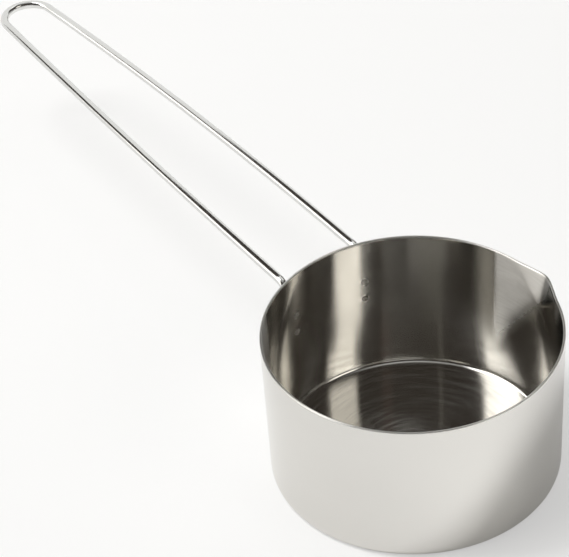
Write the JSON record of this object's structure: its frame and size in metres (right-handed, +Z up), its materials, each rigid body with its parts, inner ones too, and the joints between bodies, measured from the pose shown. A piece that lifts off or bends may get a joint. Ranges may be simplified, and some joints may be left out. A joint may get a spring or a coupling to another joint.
{
  "type": "measuring cup",
  "caption": "Straight-sided stainless steel measuring cup with a pour lip pressed into its rim and a long bent wire handle welded below the rim.",
  "frame": {"origin": "centre of the cup's flat underside, on the cup's axis", "axes": "+Z up along the cup's axis, +Y out along the handle, and the pour lip 6 degrees from +X towards -Y"},
  "size_m": [0.0867, 0.257, 0.0471],
  "materials": {
    "satin_cup_steel": "satin, brushed round the cup",
    "bright_wire_steel": "bright drawn wire",
    "weld_steel": "dull fused steel"
  },
  "bodies": {
    "root": {"cup_body": "satin_cup_steel", "wire_handle": "bright_wire_steel", "weld_lip_side_upper": "weld_steel", "weld_lip_side_lower": "weld_steel", "weld_off_side_upper": "weld_steel", "weld_off_side_lower": "weld_steel"}
  },
  "joints": []
}
